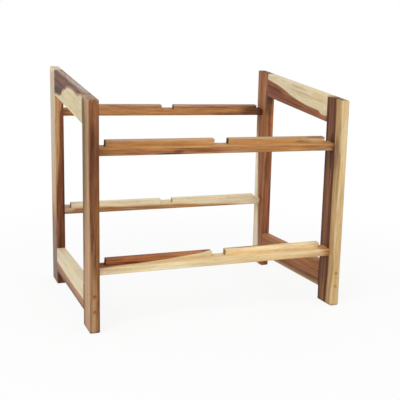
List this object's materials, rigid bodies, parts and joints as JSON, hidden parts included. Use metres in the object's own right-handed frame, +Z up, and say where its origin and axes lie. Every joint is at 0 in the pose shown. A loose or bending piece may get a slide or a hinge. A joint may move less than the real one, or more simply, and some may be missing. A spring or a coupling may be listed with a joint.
{
  "type": "wine rack",
  "caption": "Free-standing two-tone wooden wine rack: plain side frames with sloping top rails, joined by sloping cross bars with raised, notched lips on two tiers.",
  "frame": {"origin": "on the floor, below the middle of the rack's box", "axes": "+X to the right across the bars, +Y from the low front to the high back, +Z up"},
  "size_m": [0.44, 0.315, 0.4007],
  "materials": {
    "pale_wood": "oiled satin sapwood",
    "tan_wood": "oiled satin heartwood",
    "brown_wood": "oiled satin dark heartwood",
    "dowel_wood": "end grain, flush and sanded"
  },
  "bodies": {
    "root": {"left_front_post": "brown_wood", "left_back_post": "tan_wood", "left_top_rail": "pale_wood", "left_bottom_rail": "pale_wood", "right_front_post": "brown_wood", "right_back_post": "brown_wood", "right_top_rail": "tan_wood", "right_bottom_rail": "brown_wood", "upper_front_bar": "tan_wood", "upper_back_bar": "tan_wood", "lower_front_bar": "pale_wood", "lower_back_bar": "pale_wood", "left_front_top_dowels": "dowel_wood", "left_front_bottom_dowels": "dowel_wood", "left_back_top_dowels": "dowel_wood", "left_back_bottom_dowels": "dowel_wood", "right_front_top_dowels": "dowel_wood", "right_front_bottom_dowels": "dowel_wood", "right_back_top_dowels": "dowel_wood", "right_back_bottom_dowels": "dowel_wood", "lower_front_bar_left_dowels": "dowel_wood", "lower_front_bar_right_dowels": "dowel_wood", "lower_back_bar_left_dowels": "dowel_wood", "lower_back_bar_right_dowels": "dowel_wood", "upper_front_bar_left_dowels": "dowel_wood", "upper_front_bar_right_dowels": "dowel_wood", "upper_back_bar_left_dowels": "dowel_wood", "upper_back_bar_right_dowels": "dowel_wood"}
  },
  "joints": []
}
